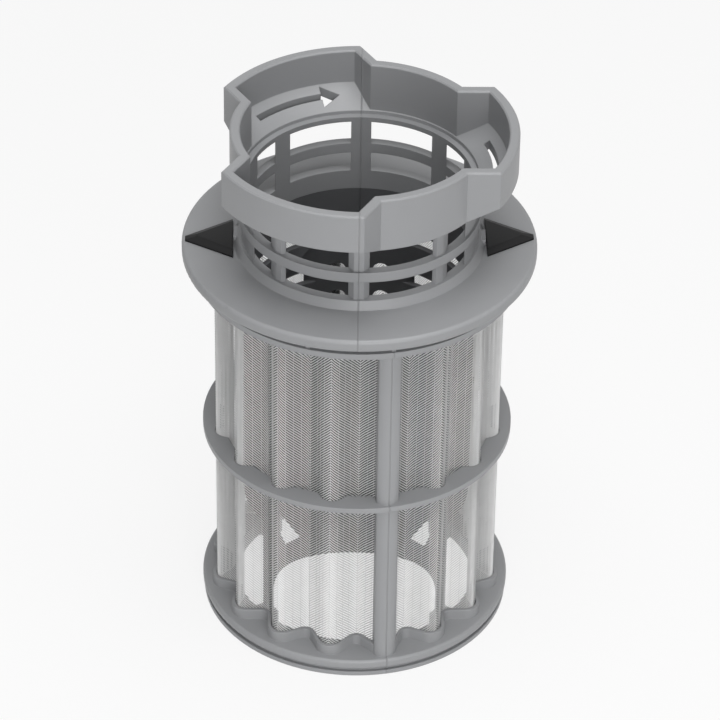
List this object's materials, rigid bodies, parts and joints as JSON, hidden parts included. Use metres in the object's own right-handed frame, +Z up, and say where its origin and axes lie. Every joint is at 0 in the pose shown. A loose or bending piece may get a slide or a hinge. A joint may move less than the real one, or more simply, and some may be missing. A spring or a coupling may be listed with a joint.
{
  "type": "dishwasher micro filter",
  "caption": "Cylindrical filter with a pleated mesh wall in a hooped cage, under a flanged head with an open neck and a lobed bayonet collar.",
  "frame": {"origin": "centre of the underside of the base, on the cylinder's axis", "axes": "+Z up along the cylinder's axis towards the collar, -Y the front that the picture shows, +X towards the right marker"},
  "size_m": [0.08, 0.08, 0.1275],
  "materials": {
    "grey_plastic": "fine matt moulded grey polypropylene",
    "steel_mesh": "woven stainless wire cloth",
    "dark_plastic": "matt moulded dark grey polypropylene",
    "black_plastic": "satin black moulded plastic"
  },
  "bodies": {
    "root": {"head": "grey_plastic", "cage_frame": "grey_plastic", "pleated_mesh": "steel_mesh", "inner_tube": "dark_plastic", "left_marker": "black_plastic", "right_marker": "black_plastic"}
  },
  "joints": []
}
